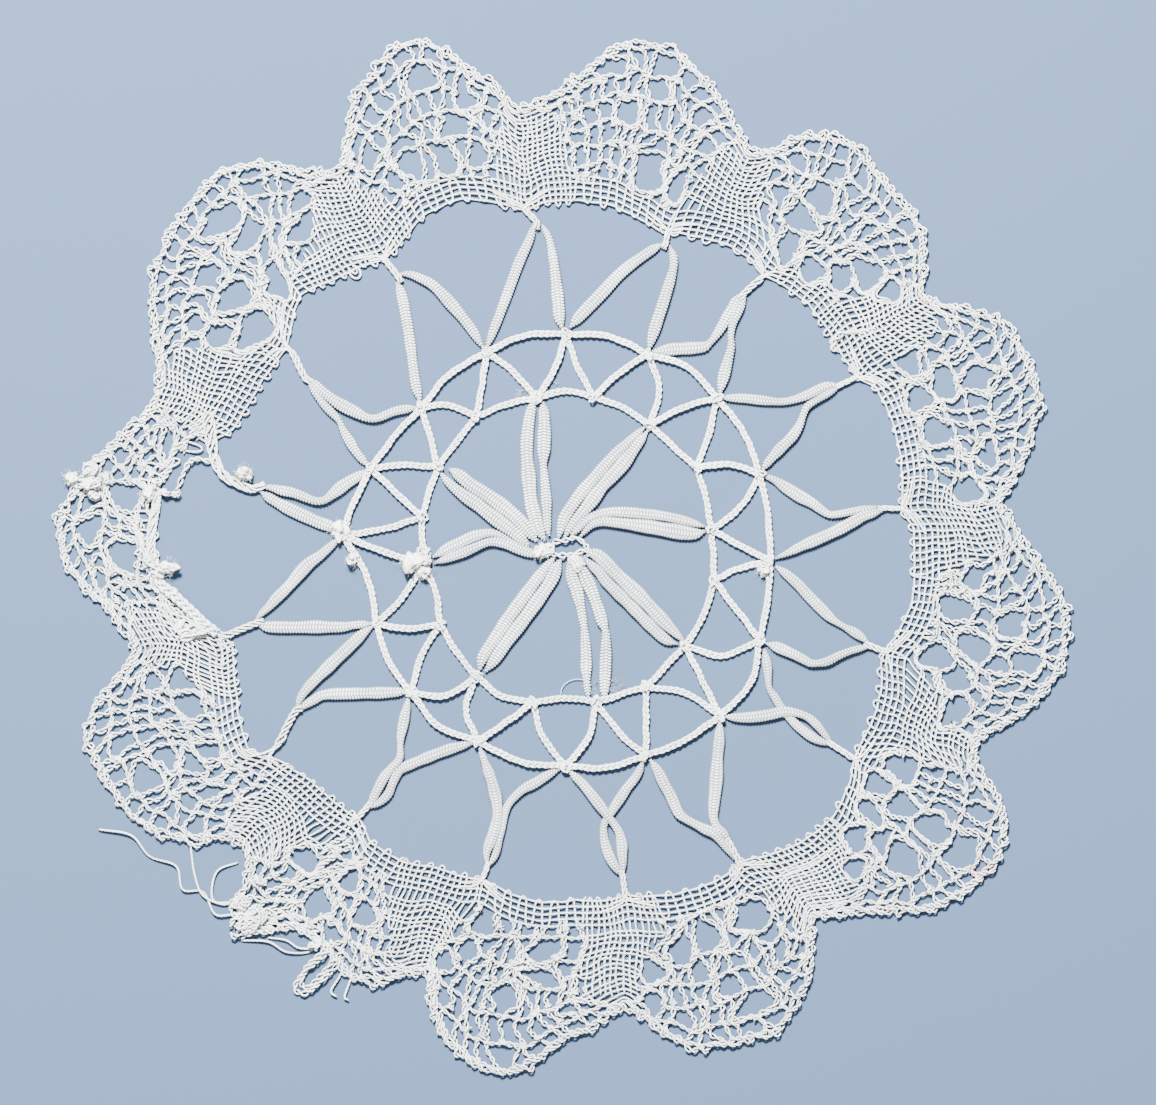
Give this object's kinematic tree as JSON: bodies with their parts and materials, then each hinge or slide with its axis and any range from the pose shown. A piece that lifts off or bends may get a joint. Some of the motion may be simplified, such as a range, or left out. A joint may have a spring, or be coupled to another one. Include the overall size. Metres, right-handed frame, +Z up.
{
  "type": "lace doily",
  "caption": "Round bobbin-lace doily with a star of woven leaves, rings of plaits and a scalloped net edge, lying flat.",
  "frame": {"origin": "on the surface that the doily lies on, under the middle of its box; the middle of its star is 0.4 mm towards +X and 0.9 mm towards +Y from there", "axes": "+Z up out of the cloth, +Y towards the top of the doily as it lies in the picture, +X towards its right"},
  "size_m": [0.129, 0.132, 0.0026],
  "materials": {
    "cotton": "matt bleached cotton thread"
  },
  "bodies": {
    "root": {"lace_doily": "cotton"}
  },
  "joints": []
}
